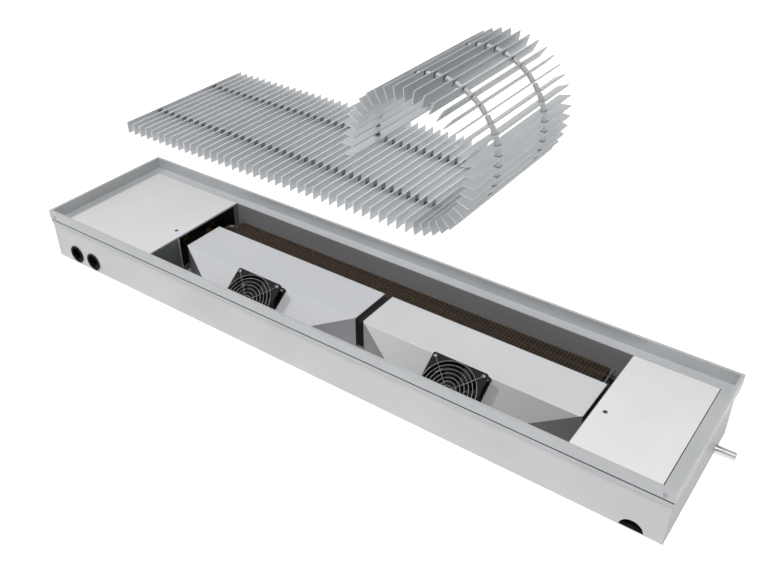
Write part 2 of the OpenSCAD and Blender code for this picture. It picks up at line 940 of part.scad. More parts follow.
module drain_nut() {
    color("dimgray") on_drain(tray_x - tray_sheet - drain_nut_h)
        tube(hose_d, drain_d - 2 * drain_step, drain_nut_h);
}

// Terminal box

module terminal_box() {
    color("gainsboro") translate([box_x, box_y, tray_sheet]) difference() {
        cube([box_l, box_w, box_h - lid_h]);
        translate([box_wall, box_wall, box_wall])
            cube([box_l - 2 * box_wall, box_w - 2 * box_wall, box_h]);
        translate([box_l / 2, box_wall / 2, gland_z]) rotate([90, 0, 0])
            cylinder(d = gland_bore, h = 3 * box_wall, center = true);
    }
}

module terminal_box_lid() {
    lap = [box_l - 2 * box_wall - fit_gap, box_w - 2 * box_wall - fit_gap];
    color("gainsboro") translate([box_x, box_y, tray_sheet + box_h - lid_h]) {
        cube([box_l, box_w, box_wall]);
        translate([box_wall + fit_gap / 2, box_wall + fit_gap / 2, -lid_lap])
            cube([lap[0], lap[1], lid_lap]);
    }
}

module cable_gland() {
    color("black") translate([box_x + box_l / 2, box_y, tray_sheet + gland_z]) rotate([90, 0, 0])
        difference() {
            union() {
                cylinder(d = gland_d, h = gland_l / 2, $fn = 6);
                cylinder(d = gland_d - 2 * box_wall, h = gland_l);
            }
            translate([0, 0, -overrun]) cylinder(d = gland_bore, h = gland_l + 2 * overrun);
        }
}

// Grille

// A blade about the spring axis; its lower edge points to negative z
module blade(holes) {
    difference() {
        block(
            [-blade_t / 2, -blade_l / 2, -axis_rise],
            [blade_t / 2, blade_l / 2, blade_h - axis_rise]
        );
        if (holes) on_springs()
            cylinder(d = spring_d + 2 * spring_slip, h = 2 * blade_t, center = true);
    }
}

// Both spring axes, with z pointing along the chain of blades
module on_springs() {
    for (side = [-1, 1]) translate([0, side * spring_pitch / 2, 0]) rotate([0, 90, 0]) children();
}

module grille_blades() {
    color("silver") for (i = [0 : flat_blades - 1])
        translate([grille_start + i * blade_pitch, 0, axis_z]) blade(true);
}

module grille_sleeves() {
    color("lightgray") for (i = [0 : flat_blades - 1])
        translate([grille_start + i * blade_pitch + blade_t / 2, 0, axis_z]) on_springs()
            difference() {
                cylinder(d = sleeve_d, h = sleeve_l);
                translate([0, 0, -overrun])
                    cylinder(d = spring_d + 2 * spring_slip, h = sleeve_l + 2 * overrun);
            }
}

module grille_springs() {
    run = (flat_blades - 1) * blade_pitch + blade_t + sleeve_l + 2 * spring_tail;
    color("dimgray") translate([grille_start - blade_t / 2 - spring_tail, 0, axis_z])
        on_springs() cylinder(d = spring_d, h = run - spring_tail);
}

// Place of the rolled blade of the given number, counted from the last flat one
module on_roll(count) {
    translate([roll_x, 0, roll_z]) rotate([0, -count * blade_bend, 0])
        translate([0, 0, -roll_r]) children();
}

// Two blades, the sleeves on their far sides and the stretches of spring between them
module roll_link(link) {
    free_tail = sleeve_gap - spring_end_gap;
    held_tail = sleeve_gap + spring_end_gap;
    color("silver") for (half = [0, 1]) {
        count = 2 * link - 1 + half;
        tail = half == 0 ? free_tail : held_tail;
        on_roll(count) {
            blade(false);
            on_springs() translate([0, 0, -blade_t / 2 - tail]) cylinder(d = spring_d, h = tail);
            if (count < rolled_blades)
                on_springs() translate([0, 0, blade_t / 2]) cylinder(d = sleeve_d, h = sleeve_l);
        }
    }
}

tray_floor();
tray_front_wall();
tray_back_wall();
tray_end_walls();
frame_front();
frame_back();
frame_left();
frame_right();
corner_keys();
corner_screws();
supply_grommet();
return_grommet();
left_cover();
right_cover();
cover_rests();
cover_screws();
left_partition();
right_partition();
left_hood();
right_hood();
hood_seal();
left_fan_frame();
right_fan_frame();
left_fan_guard();
right_fan_guard();
fan_screws();
left_impeller();
right_impeller();
exchanger_fins();
exchanger_tubes();
exchanger_end_plates();
water_connections();
air_vent();
drip_tray();
drain_pipe();
drain_hose();
drain_nut();
terminal_box();
terminal_box_lid();
cable_gland();
grille_blades();
grille_sleeves();
grille_springs();
roll_link(1);  // roll_link_01
roll_link(2);  // roll_link_02
roll_link(3);  // roll_link_03
roll_link(4);  // roll_link_04
roll_link(5);  // roll_link_05
roll_link(6);  // roll_link_06
roll_link(7);  // roll_link_07
roll_link(8);  // roll_link_08
roll_link(9);  // roll_link_09
roll_link(10);  // roll_link_10
roll_link(11);  // roll_link_11
roll_link(12);  // roll_link_12
roll_link(13);  // roll_link_13
roll_link(14);  // roll_link_14
roll_link(15);  // roll_link_15
roll_link(16);  // roll_link_16
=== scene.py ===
"""Trench convector heater: looks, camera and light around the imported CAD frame, in metres."""
import json
import math
from collections import namedtuple

import bpy
from mathutils import Matrix, Vector


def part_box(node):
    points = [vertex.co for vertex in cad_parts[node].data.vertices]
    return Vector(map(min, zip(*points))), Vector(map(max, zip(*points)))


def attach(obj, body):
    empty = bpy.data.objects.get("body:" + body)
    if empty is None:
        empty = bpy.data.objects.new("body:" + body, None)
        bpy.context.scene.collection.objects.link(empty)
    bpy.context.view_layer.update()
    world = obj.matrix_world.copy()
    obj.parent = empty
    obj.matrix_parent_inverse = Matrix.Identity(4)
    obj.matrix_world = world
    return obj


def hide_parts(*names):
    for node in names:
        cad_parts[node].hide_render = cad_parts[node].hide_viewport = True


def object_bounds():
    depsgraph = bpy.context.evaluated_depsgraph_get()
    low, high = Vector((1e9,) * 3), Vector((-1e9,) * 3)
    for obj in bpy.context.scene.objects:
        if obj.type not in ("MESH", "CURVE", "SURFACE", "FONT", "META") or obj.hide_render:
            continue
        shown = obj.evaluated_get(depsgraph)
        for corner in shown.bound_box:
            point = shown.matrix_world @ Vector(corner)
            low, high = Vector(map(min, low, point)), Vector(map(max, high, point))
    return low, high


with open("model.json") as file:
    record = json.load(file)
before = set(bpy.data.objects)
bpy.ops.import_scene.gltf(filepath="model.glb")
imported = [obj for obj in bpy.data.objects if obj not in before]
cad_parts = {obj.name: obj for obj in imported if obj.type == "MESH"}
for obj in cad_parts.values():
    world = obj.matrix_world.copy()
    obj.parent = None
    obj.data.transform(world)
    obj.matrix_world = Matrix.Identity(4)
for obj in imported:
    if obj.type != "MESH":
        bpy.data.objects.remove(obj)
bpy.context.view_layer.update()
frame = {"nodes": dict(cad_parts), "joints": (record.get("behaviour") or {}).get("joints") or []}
NODES = frame["nodes"]
JOINTS = {joint["name"]: joint for joint in frame["joints"]}
MM = 0.001

# Camera

CAMERA_PLACE = (0.9284, -1.1696, 1.1459)
CAMERA_AZIMUTH = math.radians(35.405)
CAMERA_ELEVATION = math.radians(34.834)
CAMERA_ROLL = math.radians(-0.255)
SENSOR_MM = 36.0
LENS_MM = 40.74
CLIP_START = 0.01


def add_camera():
    data = bpy.data.cameras.new("camera")
    data.sensor_fit = "HORIZONTAL"
    data.sensor_width = SENSOR_MM
    data.lens = LENS_MM
    data.clip_start = CLIP_START
    camera = bpy.data.objects.new("camera", data)
    bpy.context.scene.collection.objects.link(camera)
    turn = Matrix.Rotation(CAMERA_AZIMUTH, 4, "Z")
    tilt = Matrix.Rotation(math.pi / 2 - CAMERA_ELEVATION, 4, "X")
    roll = Matrix.Rotation(CAMERA_ROLL, 4, "Z")
    camera.matrix_world = Matrix.Translation(CAMERA_PLACE) @ turn @ tilt @ roll
    bpy.context.scene.camera = camera


# Grille sizes

BLADE_PITCH = 17.36 * MM
BLADE_THICKNESS = 2.4 * MM
BLADE_HEIGHT = 23 * MM
BLADE_LENGTH = 324 * MM
BLADE_CHAMFER = 0.35 * MM
AXIS_RISE = 8 * MM
SPRING_PITCH = 154 * MM
SPRING_RADIUS = 1.5 * MM
SPRING_WIRE = 0.35 * MM
SLEEVE_RADIUS = 4.5 * MM
SLEEVE_GAP = 1.7 * MM
SLEEVE_LENGTH = BLADE_PITCH - BLADE_THICKNESS - SLEEVE_GAP
SLEEVE_SLIP = 0.6 * MM
SLEEVE_EDGE = 0.5 * MM
COIL_PITCH = 2.6 * SPRING_WIRE
COIL_LAP = 0.3 * MM
COIL_END = 1.5 * MM
COIL_TAIL = SLEEVE_GAP - 0.7 * MM
FLAT_BLADES = 39
ROLLED_BLADES = 32
BLADE_BEND = math.radians(8.68)
ROLL_RADIUS = BLADE_PITCH / 2 / math.sin(BLADE_BEND / 2)

# Shader nodes

NOISE_LOW = 0.3
NOISE_HIGH = 0.7


def feed(tree, value, socket):
    """Links an output to a socket, or sets the socket to a constant."""
    if isinstance(value, bpy.types.NodeSocket):
        tree.links.new(value, socket)
    else:
        socket.default_value = value


def new_material(name):
    """A material with its node tree and its Principled shader."""
    material = bpy.data.materials.new(name)
    material.use_nodes = True
    tree = material.node_tree
    return material, tree, tree.nodes["Principled BSDF"]


def do_math(tree, operation, *values):
    node = tree.nodes.new("ShaderNodeMath")
    node.operation = operation
    for value, socket in zip(values, node.inputs):
        feed(tree, value, socket)
    return node.outputs[0]


def do_vector_math(tree, operation, output, *values):
    node = tree.nodes.new("ShaderNodeVectorMath")
    node.operation = operation
    for value, socket in zip(values, node.inputs):
        feed(tree, value, socket)
    return node.outputs[output]


def place_coordinates(tree, stretch=(1.0, 1.0, 1.0)):
    """The object's own coordinates, scaled to stretch a pattern."""
    coordinates = tree.nodes.new("ShaderNodeTexCoord")
    mapping = tree.nodes.new("ShaderNodeMapping")
    mapping.inputs["Scale"].default_value = stretch
    tree.links.new(coordinates.outputs["Object"], mapping.inputs["Vector"])
    return mapping.outputs["Vector"]


def place_axes(tree):
    """The object's own x, y and z, each by itself."""
    split = tree.nodes.new("ShaderNodeSeparateXYZ")
    tree.links.new(place_coordinates(tree), split.inputs["Vector"])
    return split.outputs


def add_noise(tree, vector, scale, detail=3.0, roughness=0.5):
    noise = tree.nodes.new("ShaderNodeTexNoise")
    noise.inputs["Scale"].default_value = scale
    noise.inputs["Detail"].default_value = detail
    noise.inputs["Roughness"].default_value = roughness
    tree.links.new(vector, noise.inputs["Vector"])
    return noise.outputs["Fac"]


def map_range(tree, factor, low, high, from_low=NOISE_LOW, from_high=NOISE_HIGH):
    node = tree.nodes.new("ShaderNodeMapRange")
    node.inputs["From Min"].default_value = from_low
    node.inputs["From Max"].default_value = from_high
    node.inputs["To Min"].default_value = low
    node.inputs["To Max"].default_value = high
    tree.links.new(factor, node.inputs["Value"])
    return node.outputs["Result"]


def ramp_colours(tree, factor, dark, light):
    ramp = tree.nodes.new("ShaderNodeValToRGB")
    ends = ramp.color_ramp.elements
    for end, position, colour in zip(ends, (NOISE_LOW, NOISE_HIGH), (dark, light)):
        end.position = position
        end.color = (*colour, 1.0)
    tree.links.new(factor, ramp.inputs["Fac"])
    return ramp.outputs["Color"]


def drift_colours(tree, factor, colour, spread):
    """A colour that drifts by a share to both sides."""
    dark, light = ([channel * side for channel in colour] for side in (1 - spread, 1 + spread))
    return ramp_colours(tree, factor, dark, light)


def mix_colours(tree, factor, first, second):
    mix = tree.nodes.new("ShaderNodeMix")
    mix.data_type = "RGBA"
    tree.links.new(factor, mix.inputs["Factor"])
    feed(tree, first, mix.inputs["A"])
    feed(tree, second, mix.inputs["B"])
    return mix.outputs["Result"]


def add_bump(tree, shader, height, depth):
    bump = tree.nodes.new("ShaderNodeBump")
    bump.inputs["Strength"].default_value = 1.0
    bump.inputs["Distance"].default_value = depth
    tree.links.new(height, bump.inputs["Height"])
    tree.links.new(bump.outputs["Normal"], shader.inputs["Normal"])


# Helpers for painted shade by place

ABOVE = "GREATER_THAN"
BELOW = "LESS_THAN"
EVERYWHERE = (("Z", 0, ABOVE),)
BLACK = (0, 0, 0, 1)


def between(measure, low, high):
    return (measure, low, ABOVE), (measure, high, BELOW)


def mask_within(tree, axes, limits):
    """1 where every (axis or other output, limit, side) holds."""
    mask = None
    for measure, limit, side in limits:
        value = axes[measure] if isinstance(measure, str) else measure
        test = do_math(tree, side, value, limit)
        mask = test if mask is None else do_math(tree, "MULTIPLY", mask, test)
    return mask


def darken(material, mask, share):
    """Takes a share off the material's colour where the mask is 1."""
    tree = material.node_tree
    shader = tree.nodes["Principled BSDF"]
    colour = shader.inputs["Base Color"].links[0].from_socket
    amount = do_math(tree, "MULTIPLY", mask, share)
    tree.links.new(mix_colours(tree, amount, colour, BLACK), shader.inputs["Base Color"])


def shade_within(material, limits, kept):
    """Keeps a share of the colour where every limit holds."""
    tree = material.node_tree
    darken(material, mask_within(tree, place_axes(tree), limits), 1 - kept)


def shade_along(material, limits, axis, ends, kept):
    """Keeps shares of the colour that go from one end of an axis to the other."""
    tree = material.node_tree
    axes = place_axes(tree)
    mask = mask_within(tree, axes, limits)
    darken(material, mask, map_range(tree, axes[axis], 1 - kept[0], 1 - kept[1], *ends))


# Plain surfaces, with the grain's scale per metre and its depth in millimetres

EVENLY = (1.0, 1.0, 1.0)
LENGTHWAYS = (0.02, 1.0, 1.0)
CROSSWAYS = (1.0, 0.02, 1.0)
DRAWN = (0.05, 1.0, 1.0)
TRAY_OUTSIDE = (0.69, 0.69, 0.705)
DRIFT_SCALE = 6.0
DRIFT_DETAIL = 4.0
DRIFT_ROUGHNESS = 0.6
GRAIN_DETAIL = 5.0
GRAIN_ROUGHNESS = 0.65
ROUGHNESS_SPREAD = 0.06
Finish = namedtuple(
    "Finish", "colour metallic roughness grain depth spread stretch shine",
    defaults=(0.05, EVENLY, 0.5),
)
FINISHES = {
    "rail_long": Finish((0.53, 0.54, 0.55), 0.2, 0.38, 900, 0.01, stretch=LENGTHWAYS),
    "rail_short": Finish((0.53, 0.54, 0.55), 0.2, 0.38, 900, 0.01, stretch=CROSSWAYS),
    "zinc": Finish((0.42, 0.43, 0.44), 0.8, 0.42, 260, 0.01, 0.12),
    "rubber": Finish((0.006, 0.006, 0.007), 0.0, 0.7, 700, 0.04, shine=0.1),
    "cover": Finish((0.845, 0.845, 0.845), 0.0, 0.42, 850, 0.02, 0.03),
    "screw": Finish((0.12, 0.12, 0.125), 0.8, 0.35, 500, 0.01, 0.1),
    "inner_sheet": Finish((0.15, 0.16, 0.165), 0.0, 0.45, 700, 0.02),
    # The left hood's colour is a darker copy of the right hood's: painted shade.
    "left_hood": Finish((0.575, 0.585, 0.60), 0.0, 0.45, 850, 0.02, 0.03),
    "right_hood": Finish((0.635, 0.64, 0.65), 0.0, 0.45, 850, 0.02, 0.03),
    "foam": Finish((0.010, 0.010, 0.010), 0.0, 0.9, 1200, 0.3),
    "fan": Finish((0.006, 0.006, 0.007), 0.0, 0.5, 900, 0.03, shine=0.15),
    "guard": Finish((0.22, 0.22, 0.225), 0.4, 0.4, 900, 0.01),
    "bright_screw": Finish((0.30, 0.30, 0.31), 0.9, 0.3, 400, 0.01, 0.1),
    "cut_edge": Finish((0.72, 0.73, 0.74), 0.3, 0.35, 400, 0.01),
    "fold": Finish(TRAY_OUTSIDE, 0.0, 0.42, 900, 0.02),
    "copper": Finish((0.15, 0.105, 0.075), 0.7, 0.45, 180, 0.01, 0.3),
    "brass": Finish((0.5, 0.34, 0.13), 0.9, 0.3, 300, 0.01, 0.1),
    "steel_pipe": Finish((0.6, 0.61, 0.62), 1.0, 0.22, 500, 0.01, stretch=DRAWN),
    "grey_plastic": Finish((0.42, 0.42, 0.43), 0.0, 0.5, 800, 0.03),
    "blade": Finish((0.79, 0.805, 0.82), 0.25, 0.4, 900, 0.01, stretch=CROSSWAYS),
    # The rolled blades take a darker copy of the blade colour: painted shade.
    "rolled_blade_shaded": Finish((0.535, 0.55, 0.56), 0.25, 0.4, 900, 0.01, stretch=CROSSWAYS),
    # Near-black sleeve colour for sleeves deep between the blades: painted shade.
    "painted_shade_sleeve": Finish((0.06, 0.06, 0.062), 0.0, 0.6, 700, 0.02, shine=0.2),
    "sleeve": Finish((0.52, 0.525, 0.535), 0.1, 0.42, 700, 0.02),
    "spring": Finish((0.10, 0.10, 0.105), 0.8, 0.35, 400, 0.01),
}


def plain_surface(name, finish):
    """A sheet, cast or drawn surface: broad colour drift, fine grain in roughness and bump."""
    material, tree, shader = new_material(name)
    drift = add_noise(tree, place_coordinates(tree), DRIFT_SCALE, DRIFT_DETAIL, DRIFT_ROUGHNESS)
    colours = drift_colours(tree, drift, finish.colour, finish.spread)
    tree.links.new(colours, shader.inputs["Base Color"])
    grain_place = place_coordinates(tree, finish.stretch)
    fine = add_noise(tree, grain_place, finish.grain, GRAIN_DETAIL, GRAIN_ROUGHNESS)
    smooth, rough = finish.roughness - ROUGHNESS_SPREAD, finish.roughness + ROUGHNESS_SPREAD
    tree.links.new(map_range(tree, fine, smooth, rough), shader.inputs["Roughness"])
    add_bump(tree, shader, fine, finish.depth * MM)
    shader.inputs["Metallic"].default_value = finish.metallic
    shader.inputs["Specular IOR Level"].default_value = finish.shine
    return material


# Tray and fins

TRAY_INSIDE = (0.265, 0.265, 0.275)
# A near-black colour for the rooms at both ends: painted shade.
TRAY_END_ROOM_SHADE = (0.085, 0.085, 0.09)
TRAY_SPREAD = 0.05
TRAY_DRIFT_SCALE = 5.0
TRAY_GRAIN = 900.0
TRAY_ROUGHNESS = (0.36, 0.48)
COATING_DEPTH = 0.02 * MM
# Painted shade on the right end wall and in the room at the right end.
END_WALL_SHADE_KEPT = 0.72
RIGHT_ROOM_SHADE_KEPT = 0.2


def tray_surface():
    """Light coating outside and a darker one inside; the rooms at both ends take a near-black
    colour as painted shade, and the right room and the right end wall get more painted shade.
    """
    material, tree, shader = new_material("tray_coating")
    low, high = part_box("tray_floor")
    wall = (high[2] - low[2]) / 2
    room_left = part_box("left_partition")[1][0] - wall
    room_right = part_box("right_partition")[0][0] + wall
    plain = place_coordinates(tree)
    drift = add_noise(tree, plain, TRAY_DRIFT_SCALE, DRIFT_DETAIL, DRIFT_ROUGHNESS)
    outside, inside, end_room_shade = (
        drift_colours(tree, drift, colour, TRAY_SPREAD)
        for colour in (TRAY_OUTSIDE, TRAY_INSIDE, TRAY_END_ROOM_SHADE)
    )
    axes = place_axes(tree)
    walls = (*between("Y", low[1] + wall, high[1] - wall), ("Z", low[2] + wall, ABOVE))
    inner = mask_within(tree, axes, (*between("X", low[0] + wall, high[0] - wall), *walls))
    middle = mask_within(tree, axes, between("X", room_left, room_right))
    colour = mix_colours(tree, inner, outside, mix_colours(tree, middle, end_room_shade, inside))
    tree.links.new(colour, shader.inputs["Base Color"])
    fine = add_noise(tree, plain, TRAY_GRAIN)
    tree.links.new(map_range(tree, fine, *TRAY_ROUGHNESS), shader.inputs["Roughness"])
    add_bump(tree, shader, fine, COATING_DEPTH)
    # Painted shade: the room at the right end, then the right end wall.
    shade_within(material, (*between("X", room_right, high[0] - wall), *walls), RIGHT_ROOM_SHADE_KEPT)
    shade_within(material, (("X", high[0] - wall, ABOVE),), END_WALL_SHADE_KEPT)
    return material


FIN_DARK = (0.045, 0.035, 0.028)
FIN_LIGHT = (0.27, 0.205, 0.15)
FIN_SPREAD = 0.3
FIN_GRAIN = 120.0
FIN_ROUGHNESS = (0.42, 0.6)
FIN_METALLIC = 0.3
MESH_PITCH = 7.5 * MM
MESH_LINE = (0.1, 0.8)


def fin_surface():
    """Dark fins with a lighter grid of lines, as the pack shows from above."""
    material, tree, shader = new_material("fin")
    axes = place_axes(tree)
    lines = []
    for axis in ("X", "Y"):
        turns = do_math(tree, "MULTIPLY", axes[axis], 2 * math.pi / MESH_PITCH)
        lines.append(map_range(tree, do_math(tree, "SINE", turns), 0.0, 1.0, *MESH_LINE))
    grid = do_math(tree, "MAXIMUM", *lines)
    drift = add_noise(tree, place_coordinates(tree), FIN_GRAIN)
    dark = drift_colours(tree, drift, FIN_DARK, FIN_SPREAD)
    light = drift_colours(tree, drift, FIN_LIGHT, FIN_SPREAD)
    tree.links.new(mix_colours(tree, grid, dark, light), shader.inputs["Base Color"])
    tree.links.new(map_range(tree, drift, *FIN_ROUGHNESS), shader.inputs["Roughness"])
    add_bump(tree, shader, drift, COATING_DEPTH)
    shader.inputs["Metallic"].default_value = FIN_METALLIC
    return material


# Painted shade by place

HOOD_SHADE_KEPT = {"left_hood": (1.0, 1.0), "right_hood": (0.84, 0.42)}
FUNNEL_SHADE_KEPT = {"left_hood": 0.3, "right_hood": 1.0}
HOOD_GAP_SHADE_KEPT = 0.12
HOOD_ROOF = 2 * MM
HOOD_SIDE = 0.5 * MM
CREASE_Y = -43.5 * MM
FUNNEL_SPREAD = 1.976


def shade_hood(name):
    """Paints shade on a hood below its roof: growing along it from left to right, on its left
    funnel side and in the gaps at both ends.
    """
    material = MATERIALS[name]
    low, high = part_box(name)
    below_roof = ("Z", high[2] - HOOD_ROOF, BELOW)
    shade_along(material, (below_roof,), "X", (low[0], high[0]), HOOD_SHADE_KEPT[name])
    shade_within(material, (below_roof, ("X", low[0] + HOOD_SIDE, BELOW)), HOOD_GAP_SHADE_KEPT)
    shade_within(material, (below_roof, ("X", high[0] - HOOD_SIDE, ABOVE)), HOOD_GAP_SHADE_KEPT)
    tree = material.node_tree
    slant = (1, FUNNEL_SPREAD, 0)
    across = do_vector_math(tree, "DOT_PRODUCT", "Value", place_coordinates(tree), slant)
    edge = low[0] + FUNNEL_SPREAD * CREASE_Y + HOOD_SIDE
    shade_within(material, (below_roof, (across, edge, BELOW)), FUNNEL_SHADE_KEPT[name])


COVER_SHADE_KEPT_LEFT = 0.85
COVER_SHADE_KEPT_BACK = 0.87


def shade_covers():
    """Paints shade on the covers, growing to the left and to the back."""
    left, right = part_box("left_cover"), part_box("right_cover")
    cover = MATERIALS["cover"]
    shade_along(cover, EVERYWHERE, "X", (left[0][0], right[1][0]), (COVER_SHADE_KEPT_LEFT, 1.0))
    shade_along(cover, EVERYWHERE, "Y", (left[0][1], left[1][1]), (1.0, COVER_SHADE_KEPT_BACK))


GROOVE_TOP = 21.3 * MM
GROOVE_LOW = 25.2 * MM
GROOVE_REACH = 4 * MM
GROOVE_SHADE_KEPT = 0.3


def shade_groove(name, axis, outside):
    """Paints shade into the groove in the outer faces of two rails."""
    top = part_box("frame_front")[1][2]
    groove = between("Z", top - GROOVE_LOW, top - GROOVE_TOP)
    inner = outside - GROOVE_REACH
    for face in ((axis, -inner, BELOW), (axis, inner, ABOVE)):
        shade_within(MATERIALS[name], (*groove, face), GROOVE_SHADE_KEPT)


PACK_COPPER_SHADE_KEPT = 0.12


def shade_copper():
    """Paints shade on the tubes inside the fins and on the bends beyond them."""
    fins_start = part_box("exchanger_fins")[0][0]
    shade_within(MATERIALS["copper"], (("X", fins_start, ABOVE),), PACK_COPPER_SHADE_KEPT)


SPRING_PLACES = (-SPRING_PITCH / 2, SPRING_PITCH / 2)
HOLE_SHADE_W = 5.5 * MM
HOLE_SHADE_DROP = 2.4 * MM
HOLE_SHADE_KEPT = 0.3
TOP_EDGE = 0.4 * MM
BLADE_SIDE_SHADE_KEPT = 0.86


def shade_blades():
    """Paints shade on the flat blades below a bright top edge, and darker painted shade round the
    spring holes.
    """
    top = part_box("grille_blades")[1][2]
    blade = MATERIALS["blade"]
    shade_within(blade, (("Z", top - TOP_EDGE, BELOW),), BLADE_SIDE_SHADE_KEPT)
    for y in SPRING_PLACES:
        beside = between("Y", y - HOLE_SHADE_W, y + HOLE_SHADE_W)
        shade_within(blade, (("Z", top - HOLE_SHADE_DROP, BELOW), *beside), HOLE_SHADE_KEPT)


def shade_rolled_blades():
    """Paints shade on the rolled blades in a ring round both springs."""
    material = MATERIALS["rolled_blade_shaded"]
    tree = material.node_tree
    low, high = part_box("grille_blades")
    centre = (high[0] - BLADE_THICKNESS / 2, 0, low[2] + AXIS_RISE + ROLL_RADIUS)
    away = do_vector_math(tree, "SUBTRACT", "Vector", place_coordinates(tree), centre)
    flat = do_vector_math(tree, "MULTIPLY", "Vector", away, (1, 0, 1))
    reach = do_vector_math(tree, "LENGTH", "Value", flat)
    ring = between(reach, ROLL_RADIUS - HOLE_SHADE_W, ROLL_RADIUS + HOLE_SHADE_W)
    for y in SPRING_PLACES:
        beside = between("Y", y - HOLE_SHADE_W, y + HOLE_SHADE_W)
        shade_within(material, (*ring, *beside), HOLE_SHADE_KEPT)


MATERIALS = {name: plain_surface(name, finish) for name, finish in FINISHES.items()}


def finish_materials():
    MATERIALS["tray"] = tray_surface()
    MATERIALS["fin"] = fin_surface()
    for name in HOOD_SHADE_KEPT:
        shade_hood(name)
    shade_covers()
    shade_groove("rail_long", "Y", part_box("frame_back")[1][1])
    shade_groove("rail_short", "X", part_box("frame_right")[1][0])
    shade_copper()
    shade_blades()
    shade_rolled_blades()


# CAD nodes that keep their shape, with the material and the edge radius in millimetres

DRESS = {
    "tray_floor": ("tray", 0),
    "tray_front_wall": ("tray", 0),
    "tray_back_wall": ("tray", 0),
    "tray_end_walls": ("tray", 0),
    "frame_front": ("rail_long", 0.25),
    "frame_back": ("rail_long", 0.25),
    "frame_left": ("rail_short", 0.25),
    "frame_right": ("rail_short", 0.25),
    "corner_keys": ("zinc", 0.2),
    "corner_screws": ("bright_screw", 0.2),
    "supply_grommet": ("rubber", 0.5),
    "return_grommet": ("rubber", 0.5),
    "left_cover": ("cover", 0.4),
    "right_cover": ("cover", 0.4),
    "cover_rests": ("zinc", 0),
    "left_partition": ("inner_sheet", 0.3),
    "right_partition": ("inner_sheet", 0.3),
    "left_hood": ("left_hood", 0.35),
    "right_hood": ("right_hood", 0.35),
    "hood_seal": ("foam", 0.8),
    "left_fan_frame": ("fan", 0.5),
    "right_fan_frame": ("fan", 0.5),
    "exchanger_tubes": ("copper", 0),
    "exchanger_end_plates": ("zinc", 0.2),
    "water_connections": ("brass", 0.4),
    "air_vent": ("brass", 0.3),
    "drip_tray": ("zinc", 0.2),
    "drain_pipe": ("steel_pipe", 0.3),
    "drain_hose": ("rubber", 0),
    "drain_nut": ("fan", 0.3),
    "terminal_box": ("grey_plastic", 0.6),
    "terminal_box_lid": ("grey_plastic", 0.6),
    "cable_gland": ("fan", 0.4),
}
NODE_SHARP_ANGLE = math.radians(32)
BEVEL_ANGLE = math.radians(40)
BEVEL_SEGMENTS = 2


def smooth_faces(mesh, sharp_angle):
    for face in mesh.polygons:
        face.use_smooth = True
    mesh.set_sharp_from_angle(angle=sharp_angle)


def dress_node(name, material, radius):
    node = NODES[name]
    node.data.materials.clear()
    node.data.materials.append(MATERIALS[material])
    smooth_faces(node.data, NODE_SHARP_ANGLE)
    if radius:
        bevel = node.modifiers.new("edge", "BEVEL")
        bevel.width = radius * MM
        bevel.segments = BEVEL_SEGMENTS
        bevel.limit_method = "ANGLE"
        bevel.angle_limit = BEVEL_ANGLE
        bevel.harden_normals = True
        bevel.use_clamp_overlap = True


# Mesh builder


def ring_angles(sides):
    return [2 * math.pi * j / sides for j in range(sides)]


def ring_points(turn, radius, height, sides):
    """A circle about the z axis of a matrix."""
    return [
        turn @ Vector((radius * math.cos(a), radius * math.sin(a), height))
        for a in ring_angles(sides)
    ]


class Shape:
    """Points and faces of one piece, gathered part by part."""

    def __init__(self):
        self.points = []
        self.faces = []

    def strip(self, rings, caps=True, loop=False):
        """Skins rings of equal length, one after another."""
        first = len(self.points)
        size = len(rings[0])
        for ring in rings:
            self.points.extend(ring)
        count = len(rings)
        for i in range(count if loop else count - 1):
            here = first + i * size
            there = first + ((i + 1) % count) * size
            for j in range(size):
                k = (j + 1) % size
                self.faces.append((here + j, here + k, there + k, there + j))
        if caps and not loop:
            self.faces.append(tuple(first + j for j in reversed(range(size))))
            last = first + (count - 1) * size
            self.faces.append(tuple(last + j for j in range(size)))

    def tube(self, path, radius, sides=8, loop=False):
        """A round wire along a path."""
        rings = []
        count = len(path)
        side = None
        for i, point in enumerate(path):
            before = path[i - 1] if i or loop else point
            after = path[(i + 1) % count] if i + 1 < count or loop else point
            along = (after - before).normalized()
            if side is None:
                side = along.orthogonal().normalized()
            side = (side - along * side.dot(along)).normalized()
            up = along.cross(side)
            rings.append([
                point + radius * (math.cos(a) * side + math.sin(a) * up) for a in ring_angles(sides)
            ])
        self.strip(rings, loop=loop)

    def lathe(self, profile, turn, sides, caps=True, loop=False):
        """Turns (radius, height) pairs about the z axis of a matrix."""
        rings = [ring_points(turn, radius, height, sides) for radius, height in profile]
        self.strip(rings, caps, loop)

    def build(self, name, body, material, slot, sharp_deg=35, replaced=(), casts=True):
        mesh = bpy.data.meshes.new(name)
        mesh.from_pydata([tuple(point) for point in self.points], [], self.faces)
        mesh.validate()
        mesh.materials.append(MATERIALS[material])
        smooth_faces(mesh, math.radians(sharp_deg))
        piece = bpy.data.objects.new(name, mesh)
        bpy.context.scene.collection.objects.link(piece)
        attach(piece, body)
        piece.visible_shadow = casts
        if replaced:
            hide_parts(*replaced)


# Heat exchanger fins

FIN_PITCH = 2.5 * MM
FIN_THICKNESS = 0.35 * MM
FIN_RIPPLE = 0.7 * MM
FIN_RIPPLES = 13


